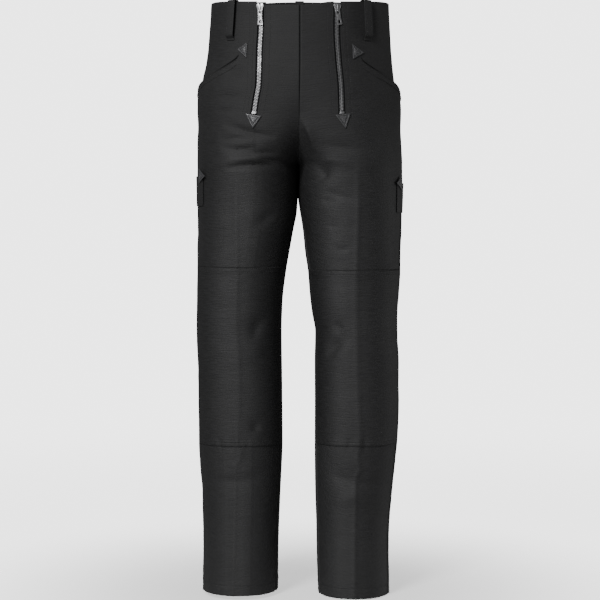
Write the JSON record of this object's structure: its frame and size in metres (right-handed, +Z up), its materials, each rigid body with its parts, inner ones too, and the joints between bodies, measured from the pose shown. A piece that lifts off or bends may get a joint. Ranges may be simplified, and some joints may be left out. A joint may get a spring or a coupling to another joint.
{
  "type": "work trousers",
  "caption": "Black heavy-cotton work trousers with two front zips, knee patches, leather corner pieces, belt loops and ruler pockets, in worn form and empty.",
  "frame": {"origin": "centre of the waist, halfway down the waistband at the side seams", "axes": "+Z up to the waist, -Y to the wearer's front, +X to the wearer's left"},
  "size_m": [0.375, 0.2692, 1.0884],
  "materials": {
    "cloth": "satin-matt heavy black cotton",
    "leather": "smooth black, pressed",
    "zip_tape": "matt woven tape",
    "zip_chain": "bright metal teeth",
    "zip_metal": "polished nickel"
  },
  "bodies": {
    "trousers": {"front_left": "cloth", "back_left": "cloth", "pocket_facing_left": "cloth", "knee_patch_left": "cloth", "ruler_pocket_left": "cloth", "leather_ruler_left": "leather", "belt_loop_front_left": "cloth", "belt_loop_side_left": "cloth", "zip_tape_left": "zip_tape", "zip_chain_left": "zip_chain", "zip_stop_left": "zip_metal", "zip_slider_left": "zip_metal", "front_right": "cloth", "back_right": "cloth", "pocket_facing_right": "cloth", "knee_patch_right": "cloth", "ruler_pocket_right": "cloth", "leather_ruler_right": "leather", "belt_loop_front_right": "cloth", "belt_loop_side_right": "cloth", "zip_tape_right": "zip_tape", "zip_chain_right": "zip_chain", "zip_stop_right": "zip_metal", "zip_slider_right": "zip_metal", "waistband_back": "cloth", "belt_loop_back": "cloth", "leather_zip_left": "leather", "leather_zip_right": "leather", "leather_pocket_left": "leather", "leather_pocket_right": "leather"},
    "pull_tab_left": {"zip_pull_left": "zip_metal"},
    "pull_tab_right": {"zip_pull_right": "zip_metal"}
  },
  "joints": [
    {"name": "pull_tab_left_swing", "type": "hinge", "parent": "trousers", "child": "pull_tab_left", "pos_m": [0.06539, -0.11378, 0.00156], "axis": [-0.9559, -0.2593, -0.1377], "range_deg": [0, 130]},
    {"name": "pull_tab_right_swing", "type": "hinge", "parent": "trousers", "child": "pull_tab_right", "pos_m": [-0.06975, -0.11252, 0.00156], "axis": [-0.9618, 0.2734, -0.0108], "range_deg": [0, 130]}
  ]
}
